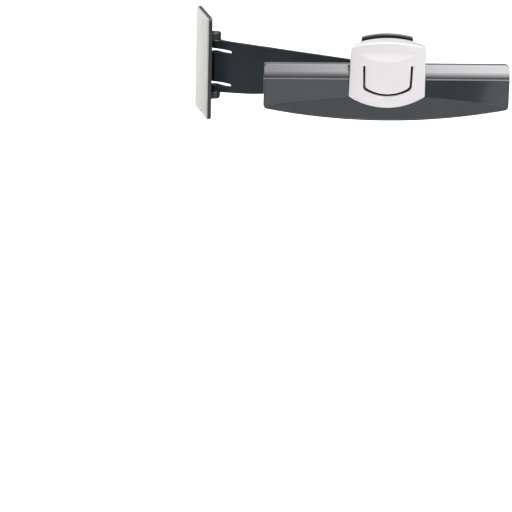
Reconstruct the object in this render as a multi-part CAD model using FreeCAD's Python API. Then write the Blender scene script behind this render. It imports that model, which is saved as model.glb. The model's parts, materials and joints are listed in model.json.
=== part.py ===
import FreeCAD, Part

import math
import os

# A document clip on a swing arm, for the side of a monitor. Millimetres, +Z up.
# The origin is the centre of the adhesive face. The monitor's side lies in the plane X = 0,
# +X points away from it, and -Y points towards the person at the desk.
# The arm is modelled along +X from its hinge axis, and the clip head about the middle of
# the document bar's front face, with the bar along X. Both are then turned into place.

# Driving dimensions: mounting plate and hinge
PAD_THICK = 1.2
PAD_MARGIN = 1.0
PLATE_THICK = 3.0
PLATE_HEIGHT = 88.0
PLATE_DEPTH = 44.0
PLATE_CORNER = 3.0
HINGE_X = 9.0
HINGE_Y = -14.0
KNUCKLE_R = 4.3
EAR_TOP = 30.4
EAR_ROUND = 1.6
EDGE_ROUND = 0.6
EAR_BOTTOM = -27.2
HINGE_PIN_R = 1.5
RUN_GAP = 0.05
WASHER_THICK = 0.3
WASHER_ROOM = WASHER_THICK + 2 * RUN_GAP
PIN_CHAMFER = 0.3
PIN_SUNK = 0.2

# Driving dimensions: swing arm
ARM_LENGTH = 153.55
ARM_ANGLE = -38.8
ARM_THICK = 3.2
ARM_TOP = 23.35
ARM_BOTTOM = -20.95
ARM_END_BOTTOM = 0.1
ARM_RISE_START = 50.0
ARM_RISE_START_Z = -16.2
ARM_RISE_ANGLE = 9.5
ARM_BELLY = (28.0, -19.45)
SLOT_HEIGHT = 3.8
SLOT_DROP = 0.085
SLOT_END = 15.4
SLOT_TOPS = (16.95, -11.65)
SLOT_FLOOR_GAP = 0.4
SWIVEL_R = 4.8
FLARE_R = 26.0
ARM_ROUND = 0.5
SWIVEL_PIN_R = 2.0

# Driving dimensions: clip head
BAR_ANGLE = -10.9
SWIVEL_BACK = 16.0
BAR_HALF = 100.0
BAR_TOP = 26.1
BAR_CORNER_Z = -9.9
BAR_LOW_Z = -18.95
BAR_WALL = 2.4
BAR_CORNER_R = 3.0
LEDGE_Z = 14.9
LEDGE_DEEP = 0.7
LEDGE_HIGH = 0.45
LEDGE_ROUND = 0.3
ROLL_R = 9.0
BAND_LEAN = 36.0
RIM_BACK = 11.2
FOLD_TOP_Z = 1.0
FOLD_R = 561.0
FOLD_SLOPE = 0.14
RIB_THICK = 1.4
RIB_XS = (35.0, 65.0, 92.0)
SCREW_X = 13.0
SCREW_Z = 7.0
SCREW_R = 1.2
SCREW_HEAD_R = 2.6
SCREW_HEAD_SUNK = 1.2
SCREW_FIT = 0.2
CROSS_LONG = 3.0
CROSS_WIDE = 0.6
BOSS_R = 2.9
HOUSING_HALF = 18.0
HOUSING_BACK = 13.9
HOUSING_LOW = -4.7
HOUSING_TOP = 23.5
HOUSING_BEVEL = 3.0
POCKET_IN = 7.2
POCKET_WALL = 2.0
POCKET_TOP = 13.5
WALL_FRONT = 11.75
LUG_R = 5.4
LUG_TOP = 27.9
TAB_HALF = 21.0
TAB_FRONT = 8.8
TAB_LOW = 42.5
TAB_TOP = 51.0
TAB_END_TOP = 47.9
TAB_ROUND = 1.6
TAB_CORNER_R = 1.8
LUG_POCKET_GAP = 0.5
PIN_HEAD_R = 3.0
PIN_HEAD_HIGH = 1.4
PIN_HEAD_ROUND = 0.9
PIN_GROOVE_DEEP = 0.5
RING_THICK = 0.6
RING_R = 3.0
RING_RECESS = 0.2
CONE_HIGH = 0.5
CONE_THICK = 0.3
CONE_R = 2.9

# Driving dimensions: front jaw and its pivot
PIVOT_Y = 1.0
PIVOT_Z = 31.0
PIVOT_PIN_R = 1.25
EYE_R = 3.2
CHEEK_X = (17.8, 20.8)
JAW_LUG_X = (21.1, 24.1)
JAW_WALL = 2.6
JAW_BOW_R = 233.0
JAW_LOW = -7.6
JAW_TOP = 48.3
JAW_FRONT_LOW = -4.5
JAW_FRONT_TOP = -8.6
JAW_LOW_CORNER = (31.0, 1.4)
JAW_TOP_CORNER = (30.2, 43.9)
JAW_TOP_ROUND = 2.4
JAW_BACK = 3.6
JAW_BACK_R = 110.0
FLANGE_WALL = 2.2
JAW_LUG_REACH = -5.6
SCOOP_LOW_Z = 115.0
SCOOP_LOW_R = 83.4
SCOOP_LOW_SLOPE = 0.18
SCOOP_HIGH_Z = -37.4
SCOOP_HIGH_R = 80.4
SCOOP_HIGH_SLOPE = 0.311
SCOOP_Y = -7.3
SCOOP_FLOOR = -6.0
TONGUE_HALF = 20.3
TONGUE_TOP = 27.7
TONGUE_LOW = 2.3
TONGUE_CORNER_Z = 8.0
TONGUE_GAP = 1.9
TONGUE_ROUND = 4.5
TONGUE_TAPER = 0.5
GRIP_OUTER = 1.2
GRIP_WIDE = 4.0
GRIP_HALF = 22.0
BAR_PAD_THICK = 0.8
COIL_HALF = 8.4
COIL_TURNS = 13
COIL_R = 2.55
WIRE_R = 0.62

FAR = 300.0
V = FreeCAD.Vector
os.makedirs("parts", exist_ok=True)


def box(x0, x1, y0, y1, z0, z1):
    return Part.makeBox(x1 - x0, y1 - y0, z1 - z0, V(x0, y0, z0))


def post(x, y, r, z0, z1):
    return Part.makeCylinder(r, z1 - z0, V(x, y, z0), V(0, 0, 1))


def rod_x(y, z, r, x0, x1):
    return Part.makeCylinder(r, x1 - x0, V(x0, y, z), V(1, 0, 0))


def rod_y(x, z, r, y0, y1):
    return Part.makeCylinder(r, y1 - y0, V(x, y0, z), V(0, 1, 0))


def ring(x, y, r_in, r_out, z0, z1):
    return post(x, y, r_out, z0, z1).cut(post(x, y, r_in, z0 - 1, z1 + 1))


def side_prism(points, x0, x1):
    """A prism along X from (y, z) points."""
    loop = [V(x0, y, z) for y, z in points]
    return Part.Face(Part.makePolygon(loop + loop[:1])).extrude(V(x1 - x0, 0, 0))


def front_prism(edges, y0, y1):
    """A prism along Y from edges drawn in the plane Y = 0."""
    face = Part.Face(Part.Wire(edges))
    face.translate(V(0, y0, 0))
    return face.extrude(V(0, y1 - y0, 0))


def line(p, q):
    return Part.LineSegment(V(*p), V(*q)).toShape()


def arc(p, middle, q):
    return Part.Arc(V(*p), V(*middle), V(*q)).toShape()


def fillet_where(solid, radius, chosen):
    """Rounds the edges whose middle point and direction pass the test."""
    edges = [e for e in solid.Edges if chosen(e)]
    return solid.makeFillet(radius, edges)


def runs_along(edge, axis):
    """True for a straight edge along one axis: 0, 1 or 2."""
    step = edge.valueAt(edge.LastParameter) - edge.valueAt(edge.FirstParameter)
    if not isinstance(edge.Curve, Part.Line):
        return False
    return abs(step[axis]) > 0.999 * step.Length


def on_arm(shape):
    shape.rotate(V(0, 0, 0), V(0, 0, 1), ARM_ANGLE)
    shape.translate(V(HINGE_X, HINGE_Y, 0))
    return shape


def on_head(shape):
    arm = math.radians(ARM_ANGLE)
    bar = math.radians(BAR_ANGLE)
    x = HINGE_X + ARM_LENGTH * math.cos(arm) + SWIVEL_BACK * math.sin(bar)
    y = HINGE_Y + ARM_LENGTH * math.sin(arm) - SWIVEL_BACK * math.cos(bar)
    shape.rotate(V(0, 0, 0), V(0, 0, 1), BAR_ANGLE)
    shape.translate(V(x, y, 0))
    return shape


def save(name, shape):
    clean = shape.removeSplitter()
    assert clean.isValid(), name
    clean.exportStep(f"parts/{name}.step")
    print(name, len(clean.Solids), round(clean.Volume, 1))


# ---- mounting plate and hinge ----


def mount_plate():
    half_y, half_z = PLATE_DEPTH / 2, PLATE_HEIGHT / 2
    face = PAD_THICK + PLATE_THICK
    plate = box(PAD_THICK, face, -half_y, half_y, -half_z, half_z)
    plate = fillet_where(plate, PLATE_CORNER, lambda e: runs_along(e, 0))
    plate = fillet_where(plate, EDGE_ROUND, lambda e: e.CenterOfMass.x > face - 1e-3)
    ear_root = box(face - 0.5, HINGE_X, HINGE_Y - KNUCKLE_R, HINGE_Y + KNUCKLE_R, -FAR, FAR)
    ear = ear_root.fuse(post(HINGE_X, HINGE_Y, KNUCKLE_R, -FAR, FAR))
    for low, high in ear_spans():
        block = ear.common(box(-FAR, FAR, -FAR, FAR, low, high)).removeSplitter()
        outer = high if high > 0 else low
        block = fillet_where(
            block,
            EAR_ROUND,
            lambda e: abs(e.CenterOfMass.z - outer) < 1e-3 and e.CenterOfMass.x > face,
        )
        plate = plate.fuse(block)
    return plate.cut(post(HINGE_X, HINGE_Y, HINGE_PIN_R, -FAR, FAR))


def ear_spans():
    """Z spans of the lower and the upper ear."""
    return ((EAR_BOTTOM, ARM_BOTTOM - WASHER_ROOM), (ARM_TOP + WASHER_ROOM, EAR_TOP))


def adhesive_pad():
    half_y = PLATE_DEPTH / 2 - PAD_MARGIN
    half_z = PLATE_HEIGHT / 2 - PAD_MARGIN
    pad = box(0, PAD_THICK, -half_y, half_y, -half_z, half_z)
    return fillet_where(pad, PLATE_CORNER - PAD_MARGIN, lambda e: runs_along(e, 0))


def hinge_pin(upper):
    """A dowel held in one ear, on which one end knuckle of the arm turns."""
    if upper:
        low, high = SLOT_TOPS[0] + SLOT_FLOOR_GAP, EAR_TOP - PIN_SUNK
    else:
        low, high = EAR_BOTTOM + PIN_SUNK, SLOT_TOPS[1] - SLOT_HEIGHT - SLOT_FLOOR_GAP
    pin = post(HINGE_X, HINGE_Y, HINGE_PIN_R, low, high)
    return pin.makeChamfer(PIN_CHAMFER, [e for e in pin.Edges if e.Closed])


def hinge_washer(upper):
    low = ARM_TOP + RUN_GAP if upper else ARM_BOTTOM - RUN_GAP - WASHER_THICK
    outer = KNUCKLE_R - WASHER_THICK
    return ring(HINGE_X, HINGE_Y, HINGE_PIN_R + RUN_GAP, outer, low, low + WASHER_THICK)


# ---- swing arm ----


def arm_plate(thick):
    """The arm's side view: deep at the hinge, rising to its shallow outer end."""
    rise = ARM_END_BOTTOM - ARM_RISE_START_Z
    flat_start = ARM_RISE_START + rise / math.tan(math.radians(ARM_RISE_ANGLE))
    belly = (ARM_BELLY[0], 0, ARM_BELLY[1])
    edges = [
        line((0, 0, ARM_TOP), (ARM_LENGTH, 0, ARM_TOP)),
        line((ARM_LENGTH, 0, ARM_TOP), (ARM_LENGTH, 0, ARM_END_BOTTOM)),
        line((ARM_LENGTH, 0, ARM_END_BOTTOM), (flat_start, 0, ARM_END_BOTTOM)),
        line((flat_start, 0, ARM_END_BOTTOM), (ARM_RISE_START, 0, ARM_RISE_START_Z)),
        arc((ARM_RISE_START, 0, ARM_RISE_START_Z), belly, (KNUCKLE_R, 0, ARM_BOTTOM)),
        line((KNUCKLE_R, 0, ARM_BOTTOM), (0, 0, ARM_BOTTOM)),
        line((0, 0, ARM_BOTTOM), (0, 0, ARM_TOP)),
    ]
    return front_prism(edges, -thick / 2, thick / 2)


def flare():
    """The web that runs smoothly from the hinge barrel into the plate."""
    half = ARM_THICK / 2
    centre_n = FLARE_R + half
    centre_s = math.sqrt((FLARE_R + KNUCKLE_R) ** 2 - centre_n**2)
    share = KNUCKLE_R / (FLARE_R + KNUCKLE_R)
    touch_s, touch_n = centre_s * share, centre_n * share
    half_turn = math.atan2(centre_s - touch_s, centre_n - touch_n) / 2
    bend_s = centre_s - FLARE_R * math.sin(half_turn)
    bend_n = centre_n - FLARE_R * math.cos(half_turn)
    z = ARM_BOTTOM
    edges = [
        line((0, 0, z), (touch_s, -touch_n, z)),
        arc((touch_s, -touch_n, z), (bend_s, -bend_n, z), (centre_s, -half, z)),
        line((centre_s, -half, z), (centre_s, half, z)),
        arc((centre_s, half, z), (bend_s, bend_n, z), (touch_s, touch_n, z)),
        line((touch_s, touch_n, z), (0, 0, z)),
    ]
    return Part.Face(Part.Wire(edges)).extrude(V(0, 0, ARM_TOP - ARM_BOTTOM))


def slot_cut(top):
    """One slot, open at the hinge side: flat floor, roof falling towards a round end."""
    radius = (SLOT_HEIGHT - SLOT_DROP * SLOT_END) / (2 - SLOT_DROP)
    end = SLOT_END - radius
    start = -KNUCKLE_R - 1
    floor = top - SLOT_HEIGHT
    start_top, end_top = top - SLOT_DROP * start, floor + 2 * radius
    edges = [
        line((end, 0, end_top), (start, 0, start_top)),
        line((start, 0, start_top), (start, 0, floor)),
        line((start, 0, floor), (end, 0, floor)),
        line((end, 0, floor), (end, 0, end_top)),
    ]
    return front_prism(edges, -FAR, FAR).fuse(rod_y(end, floor + radius, radius, -FAR, FAR))


def swing_arm():
    plate = arm_plate(ARM_THICK)
    plate = fillet_where(
        plate,
        ARM_ROUND,
        lambda e: KNUCKLE_R < e.CenterOfMass.x < ARM_LENGTH and abs(e.CenterOfMass.y) > 1,
    )
    web = flare().common(arm_plate(2 * KNUCKLE_R))
    arm = plate.fuse(post(0, 0, KNUCKLE_R, ARM_BOTTOM, ARM_TOP)).fuse(web)
    arm = arm.fuse(post(ARM_LENGTH, 0, SWIVEL_R, ARM_END_BOTTOM, ARM_TOP))
    arm = arm.cut(post(0, 0, HINGE_PIN_R + RUN_GAP, -FAR, FAR))
    arm = arm.cut(post(ARM_LENGTH, 0, SWIVEL_PIN_R + RUN_GAP, -FAR, FAR))
    for top in SLOT_TOPS:
        arm = arm.cut(slot_cut(top))
    return arm


# ---- document bar ----


def behind_bar_front():
    """All the space behind the bar's front surface: face, rolled band and lower facet."""
    lean = math.radians(BAND_LEAN)
    half_lean = lean / 2
    ledge_top = LEDGE_Z + LEDGE_HIGH
    roll_y = LEDGE_DEEP + ROLL_R * (1 - math.cos(lean))
    roll_z = ledge_top + ROLL_R * math.sin(lean)
    mid_y = LEDGE_DEEP + ROLL_R * (1 - math.cos(half_lean))
    mid_z = ledge_top + ROLL_R * math.sin(half_lean)
    top_y = roll_y + (BAR_TOP - roll_z) * math.tan(lean)
    x = -BAR_HALF - 5
    bend = LEDGE_ROUND * (1 - math.sqrt(0.5))
    ledge_bend = (x, bend, LEDGE_Z + LEDGE_ROUND - bend)
    ledge_end = (x, LEDGE_ROUND, LEDGE_Z + LEDGE_ROUND)
    edges = [
        line((x, 0, -30), (x, 0, LEDGE_Z)),
        arc((x, 0, LEDGE_Z), ledge_bend, ledge_end),
        line(ledge_end, (x, LEDGE_DEEP, ledge_top)),
        arc((x, LEDGE_DEEP, ledge_top), (x, mid_y, mid_z), (x, roll_y, roll_z)),
        line((x, roll_y, roll_z), (x, top_y, BAR_TOP)),
        line((x, top_y, BAR_TOP), (x, 60, BAR_TOP)),
        line((x, 60, BAR_TOP), (x, 60, -30)),
        line((x, 60, -30), (x, 0, -30)),
    ]
    solid = Part.Face(Part.Wire(edges)).extrude(V(-2 * x, 0, 0))
    front, back = -4.0, 0.5
    cone = Part.makeCone(
        FOLD_R + back / FOLD_SLOPE,
        FOLD_R + front / FOLD_SLOPE,
        back - front,
        V(0, back, FOLD_TOP_Z - FOLD_R),
        V(0, -1, 0),
    )
    facet = cone.common(box(x, -x, front, back, -30, FOLD_TOP_Z + 2))
    return solid.fuse(facet)


def bar_outline():
    """The bar seen from the front: straight top, square ends and a bowed lower edge."""
    edges = [
        line((-BAR_HALF, 0, BAR_TOP), (BAR_HALF, 0, BAR_TOP)),
        line((BAR_HALF, 0, BAR_TOP), (BAR_HALF, 0, BAR_CORNER_Z)),
        arc((BAR_HALF, 0, BAR_CORNER_Z), (0, 0, BAR_LOW_Z), (-BAR_HALF, 0, BAR_CORNER_Z)),
        line((-BAR_HALF, 0, BAR_CORNER_Z), (-BAR_HALF, 0, BAR_TOP)),
    ]
    return fillet_where(front_prism(edges, -20, 40), BAR_CORNER_R, lambda e: runs_along(e, 1))


def moved(shape, dy):
    copy = shape.copy()
    copy.translate(V(0, dy, 0))
    return copy


def document_bar():
    front = behind_bar_front()
    bar = front.cut(moved(front, BAR_WALL))
    rim = box(-BAR_HALF, BAR_HALF, 8, RIM_BACK, BAR_TOP - BAR_WALL, BAR_TOP)
    bar = bar.common(box(-FAR, FAR, -20, RIM_BACK, -30, BAR_TOP)).fuse(rim)
    for x in RIB_XS:
        for side in (-1, 1):
            bar = bar.fuse(bar_rib(side * x))
    bar = bar.common(bar_outline())
    for side in (-1, 1):
        boss = rod_y(side * SCREW_X, SCREW_Z, BOSS_R, BAR_WALL / 2, WALL_FRONT - RUN_GAP)
        pilot = rod_y(side * SCREW_X, SCREW_Z, SCREW_R, BAR_WALL + 0.6, WALL_FRONT + 1)
        bar = bar.fuse(boss).cut(pilot)
    return bar.cut(bar_pad())


def bar_rib(x):
    """A gusset that ties the rim to the back of the bar."""
    points = ((2.0, 13.0), (2.0, 16.0), (9.0, 25.5), (RIM_BACK, 25.5), (RIM_BACK, 22.8))
    return side_prism(points, x - RIB_THICK / 2, x + RIB_THICK / 2)


def grip_band(half):
    """A strip that follows the jaw's lower edge, seen from the front."""
    x, z = JAW_LOW_CORNER
    rise = z - JAW_LOW
    radius = (x * x + rise * rise) / (2 * rise)
    centre_z = JAW_LOW + radius
    outer = rod_y(0, centre_z, radius - GRIP_OUTER, -20, 20)
    inner = rod_y(0, centre_z, radius - GRIP_OUTER - GRIP_WIDE, -21, 21)
    return outer.cut(inner).common(box(-half, half, -20, 20, -20, 10))


def bar_pad():
    front = behind_bar_front()
    return grip_band(GRIP_HALF).common(front.cut(moved(front, BAR_PAD_THICK)))


# ---- clip back: housing, swivel lugs, pivot cheeks and finger tab ----


def housing_body():
    points = (
        (BAR_WALL + RUN_GAP, HOUSING_LOW),
        (BAR_WALL + RUN_GAP, LEDGE_Z - 1.1),
        (9.0, HOUSING_TOP - 0.3),
        (WALL_FRONT, HOUSING_TOP),
        (HOUSING_BACK, HOUSING_TOP),
        (HOUSING_BACK, HOUSING_LOW + HOUSING_BEVEL),
        (HOUSING_BACK - HOUSING_BEVEL, HOUSING_LOW),
    )
    body = side_prism(points, -HOUSING_HALF, HOUSING_HALF)
    for side in (-1, 1):
        x0, x1 = sorted((side * POCKET_IN, side * (HOUSING_HALF - POCKET_WALL)))
        body = body.cut(box(x0, x1, 0, WALL_FRONT, HOUSING_LOW + POCKET_WALL, POCKET_TOP))
    return body


def swivel_lugs():
    """Upper and lower ears on the swivel axis."""
    spans = (
        (HOUSING_LOW, ARM_END_BOTTOM - WASHER_ROOM, 4.0),
        (ARM_TOP + WASHER_ROOM, LUG_TOP, WALL_FRONT),
    )
    lugs = None
    for low, high, start in spans:
        lug = post(0, SWIVEL_BACK, LUG_R, low, high)
        lug = lug.fuse(box(-LUG_R, LUG_R, start, SWIVEL_BACK, low, high))
        lug = lug.common(box(-LUG_R, LUG_R, start, FAR, low, high))
        lugs = lug if lugs is None else lugs.fuse(lug)
    return lugs


def pivot_cheeks():
    """Two cheeks that reach forward over the bar to hold the jaw pin."""
    points = (
        (PIVOT_Y, PIVOT_Z - EYE_R),
        (WALL_FRONT + 1, 27.2),
        (WALL_FRONT + 1, 40.0),
        (PIVOT_Y, PIVOT_Z + EYE_R),
    )
    cheeks = None
    for side in (-1, 1):
        x0, x1 = sorted((side * CHEEK_X[0], side * CHEEK_X[1]))
        cheek = side_prism(points, x0, x1).fuse(rod_x(PIVOT_Y, PIVOT_Z, EYE_R, x0, x1))
        cheeks = cheek if cheeks is None else cheeks.fuse(cheek)
    return cheeks.cut(rod_x(PIVOT_Y, PIVOT_Z, PIVOT_PIN_R, -FAR, FAR))


def finger_tab():
    """The upright wall behind the bar, with the thick rounded tab at its top."""
    step = WALL_FRONT - TAB_FRONT
    wall_points = (
        (WALL_FRONT, HOUSING_TOP - 0.1),
        (WALL_FRONT, TAB_LOW - step),
        (TAB_FRONT, TAB_LOW),
        (TAB_FRONT, TAB_TOP + 1),
        (HOUSING_BACK - 1.4, TAB_TOP + 1),
        (HOUSING_BACK, TAB_LOW),
        (HOUSING_BACK, HOUSING_TOP - 0.1),
    )
    tab = side_prism(wall_points, -TAB_HALF, TAB_HALF)
    edges = [
        line((-TAB_HALF, 0, 0), (TAB_HALF, 0, 0)),
        line((TAB_HALF, 0, 0), (TAB_HALF, 0, TAB_END_TOP)),
        arc((TAB_HALF, 0, TAB_END_TOP), (0, 0, TAB_TOP), (-TAB_HALF, 0, TAB_END_TOP)),
        line((-TAB_HALF, 0, TAB_END_TOP), (-TAB_HALF, 0, 0)),
    ]
    outline = fillet_where(
        front_prism(edges, 0, 30),
        TAB_CORNER_R,
        lambda e: runs_along(e, 1) and e.CenterOfMass.z > TAB_LOW,
    )
    tab = tab.common(outline)
    return fillet_where(
        tab,
        TAB_ROUND,
        lambda e: e.CenterOfMass.z > TAB_END_TOP + 0.5 and e.Length > TAB_HALF,
    )


def clip_back():
    body = housing_body().fuse(swivel_lugs()).fuse(finger_tab()).fuse(pivot_cheeks())
    low, high = ARM_END_BOTTOM - WASHER_ROOM, ARM_TOP + WASHER_ROOM
    body = body.cut(post(0, SWIVEL_BACK, SWIVEL_R + LUG_POCKET_GAP, low, high))
    body = body.cut(post(0, SWIVEL_BACK, SWIVEL_PIN_R, -FAR, FAR))
    room_top = LUG_TOP + CONE_HIGH + 2 * RING_THICK + RING_RECESS
    body = body.cut(post(0, SWIVEL_BACK, RING_R + RING_RECESS, LUG_TOP, room_top))
    seat = HOUSING_BACK - SCREW_HEAD_SUNK
    for side in (-1, 1):
        x = side * SCREW_X
        body = body.cut(rod_y(x, SCREW_Z, SCREW_R + SCREW_FIT, 0, 20))
        body = body.cut(rod_y(x, SCREW_Z, SCREW_HEAD_R + SCREW_FIT, seat, 20))
    return body


def bar_screws():
    """The two cross-headed screws that hold the bar to the clip back."""
    seat, top = HOUSING_BACK - SCREW_HEAD_SUNK, HOUSING_BACK - 0.1
    screws = []
    for side in (-1, 1):
        x = side * SCREW_X
        head = rod_y(x, SCREW_Z, SCREW_HEAD_R, seat, top)
        head = head.makeFillet(0.6, [e for e in head.Edges if e.CenterOfMass.y > top - 0.1])
        screw = head.fuse(rod_y(x, SCREW_Z, SCREW_R, 4.0, seat + 0.2))
        for turn in (0, 90):
            half_long, half_wide = CROSS_LONG / 2, CROSS_WIDE / 2
            wing = box(-half_long, half_long, top - 0.6, top + 0.1, -half_wide, half_wide)
            wing.rotate(V(0, 0, 0), V(0, 1, 0), turn)
            wing.translate(V(x, 0, SCREW_Z))
            screw = screw.cut(wing)
        screws.append(screw.removeSplitter())
    return Part.makeCompound(screws)


# ---- swivel ----


def swivel_pin():
    """A headed pin up through both lugs and the arm's end, grooved for its retaining ring."""
    groove_low = LUG_TOP + CONE_HIGH
    groove_top = groove_low + RING_THICK + RUN_GAP
    pin = post(0, SWIVEL_BACK, SWIVEL_PIN_R, HOUSING_LOW, groove_top + RING_THICK)
    head_low = HOUSING_LOW - PIN_HEAD_HIGH
    head = post(0, SWIVEL_BACK, PIN_HEAD_R, head_low, HOUSING_LOW)
    rim = [e for e in head.Edges if e.Closed and e.CenterOfMass.z < head_low + 0.1]
    head = head.makeFillet(PIN_HEAD_ROUND, rim)
    core = SWIVEL_PIN_R - PIN_GROOVE_DEEP
    return pin.fuse(head).cut(ring(0, SWIVEL_BACK, core, 4, groove_low, groove_top))


def swivel_clip():
    """The open retaining ring in the pin's groove."""
    low = LUG_TOP + CONE_HIGH
    core = SWIVEL_PIN_R - PIN_GROOVE_DEEP + RUN_GAP
    clip = ring(0, SWIVEL_BACK, core, RING_R, low, low + RING_THICK)
    clip = clip.cut(box(-1.1, 1.1, SWIVEL_BACK, SWIVEL_BACK + 6, low - 1, low + 1))
    for side in (-1, 1):
        clip = clip.cut(post(side * 2.2, SWIVEL_BACK - 1.3, 0.5, low - 1, low + 1))
    return clip


def swivel_washer(upper):
    low = ARM_TOP + RUN_GAP if upper else ARM_END_BOTTOM - RUN_GAP - WASHER_THICK
    return ring(0, SWIVEL_BACK, SWIVEL_PIN_R + RUN_GAP, SWIVEL_R - 0.2, low, low + WASHER_THICK)


def spring_washer():
    """A shallow cone under the retaining ring, which presses the swivel together."""
    inner, low, high = SWIVEL_PIN_R + 2 * RUN_GAP, LUG_TOP, LUG_TOP + CONE_HIGH
    points = (
        (inner, high - CONE_THICK),
        (inner, high),
        (CONE_R, low + CONE_THICK),
        (CONE_R, low),
    )
    loop = [V(r, 0, z) for r, z in points]
    cone = Part.Face(Part.makePolygon(loop + loop[:1])).revolve(V(0, 0, 0), V(0, 0, 1), 360)
    cone.translate(V(0, SWIVEL_BACK, 0))
    return cone


# ---- front jaw ----


def jaw_tilt():
    return math.atan2(JAW_FRONT_LOW - JAW_FRONT_TOP, JAW_TOP - JAW_LOW)


def lean_forward(shape):
    """Leans a shape that was drawn upright by the jaw's own lean, about its lower edge."""
    foot = V(0, JAW_FRONT_LOW, JAW_LOW)
    shape.rotate(foot, V(1, 0, 0), math.degrees(jaw_tilt()))
    return shape


def behind_jaw_front(depth):
    """The space more than depth behind the jaw's bowed and leaning front surface."""
    tilt = jaw_tilt()
    out = V(0, -math.cos(tilt), -math.sin(tilt))
    up = V(0, -math.sin(tilt), math.cos(tilt))
    foot = V(0, JAW_FRONT_LOW, JAW_LOW) - out * JAW_BOW_R - up * 30
    solid = Part.makeCylinder(JAW_BOW_R - depth, 120, foot, up)
    return solid.common(box(-40, 40, -20, 12, -20, 60))


def jaw_outline(inset):
    """The jaw seen from the front, drawn in by inset."""
    x_low, z_low = JAW_LOW_CORNER[0] - inset, JAW_LOW_CORNER[1] + inset
    x_top, z_top = JAW_TOP_CORNER[0] - inset, JAW_TOP_CORNER[1] - inset
    low, top = JAW_LOW + inset, JAW_TOP - inset
    edges = [
        arc((-x_top, 0, z_top), (0, 0, top), (x_top, 0, z_top)),
        line((x_top, 0, z_top), (x_low, 0, z_low)),
        arc((x_low, 0, z_low), (0, 0, low), (-x_low, 0, z_low)),
        line((-x_low, 0, z_low), (-x_top, 0, z_top)),
    ]
    prism = fillet_where(
        front_prism(edges, -20, 12),
        JAW_TOP_ROUND - inset,
        lambda e: runs_along(e, 1) and e.CenterOfMass.z > JAW_TOP / 2,
    )
    return lean_forward(prism)


def tongue_outline(inset):
    """The edge of the slot around the jaw's flexing tongue, drawn in by inset."""
    half, low = TONGUE_HALF - inset, TONGUE_LOW + inset
    corner, foot = TONGUE_CORNER_Z + inset, half - TONGUE_TAPER
    edges = [
        line((-half, 0, TONGUE_TOP), (half, 0, TONGUE_TOP)),
        line((half, 0, TONGUE_TOP), (foot, 0, corner)),
        arc((foot, 0, corner), (0, 0, low), (-foot, 0, corner)),
        line((-foot, 0, corner), (-half, 0, TONGUE_TOP)),
    ]
    return fillet_where(
        front_prism(edges, -20, 12),
        TONGUE_ROUND - inset,
        lambda e: runs_along(e, 1) and e.CenterOfMass.z < TONGUE_TOP / 2,
    )


def thumb_scoop():
    """The shallow hollow for the thumb: two opposed cones that meet along a level fold."""
    front, back = -11.0, SCOOP_FLOOR
    hollow = None
    for z, radius, slope in (
        (SCOOP_LOW_Z, SCOOP_LOW_R, SCOOP_LOW_SLOPE),
        (SCOOP_HIGH_Z, SCOOP_HIGH_R, SCOOP_HIGH_SLOPE),
    ):
        wide = radius - (front - SCOOP_Y) / slope
        narrow = radius - (back - SCOOP_Y) / slope
        cone = Part.makeCone(wide, narrow, back - front, V(0, front, z), V(0, 1, 0))
        hollow = cone if hollow is None else hollow.common(cone)
    return hollow


def jaw_flanges():
    """Top cap and side flanges, which grow deeper towards the top."""
    band = jaw_outline(0).cut(jaw_outline(FLANGE_WALL))
    flange_back = ((-1.2, 8), (2.0, 36), (6, 36), (6, 60))
    band = band.common(side_prism(((-20, 8), *flange_back, (-20, 60)), -40, 40))
    back = Part.makeCylinder(JAW_BACK_R, 120, V(0, JAW_BACK - JAW_BACK_R, -30), V(0, 0, 1))
    return band.common(back).common(behind_jaw_front(0))


def jaw_lugs():
    """Two lugs on the jaw's back, outside the cheeks, that turn on the jaw pin."""
    points = (
        (JAW_LUG_REACH, PIVOT_Z - EYE_R - 1),
        (PIVOT_Y, PIVOT_Z - EYE_R),
        (PIVOT_Y, PIVOT_Z + EYE_R),
        (JAW_LUG_REACH, PIVOT_Z + EYE_R + 2),
    )
    lugs = None
    for side in (-1, 1):
        x0, x1 = sorted((side * JAW_LUG_X[0], side * JAW_LUG_X[1]))
        lug = side_prism(points, x0, x1).fuse(rod_x(PIVOT_Y, PIVOT_Z, EYE_R, x0, x1))
        lugs = lug if lugs is None else lugs.fuse(lug)
    lugs = lugs.common(behind_jaw_front(JAW_WALL / 2))
    return lugs.cut(rod_x(PIVOT_Y, PIVOT_Z, PIVOT_PIN_R + RUN_GAP, -FAR, FAR))


def front_jaw():
    shell = behind_jaw_front(0).cut(behind_jaw_front(JAW_WALL)).common(jaw_outline(0))
    jaw = shell.fuse(jaw_flanges()).fuse(jaw_lugs())
    slot = tongue_outline(0).cut(tongue_outline(TONGUE_GAP))
    slot = slot.common(box(-FAR, FAR, -FAR, FAR, -20, TONGUE_TOP))
    return jaw.cut(slot).cut(thumb_scoop())


def jaw_pad():
    pad = grip_band(GRIP_HALF).common(behind_jaw_front(JAW_WALL))
    return pad.cut(moved(behind_bar_front(), -RUN_GAP))


def jaw_pin():
    pin = rod_x(PIVOT_Y, PIVOT_Z, PIVOT_PIN_R, -JAW_LUG_X[1] - 0.4, JAW_LUG_X[1] + 0.4)
    return pin.makeChamfer(PIN_CHAMFER, [e for e in pin.Edges if e.Closed])


def spring_leg(x, foot_y, tip_y, tip_z):
    foot = V(x, foot_y, PIVOT_Z)
    step = V(x, tip_y, tip_z) - foot
    return Part.makeCylinder(WIRE_R, step.Length, foot, step)


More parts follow.
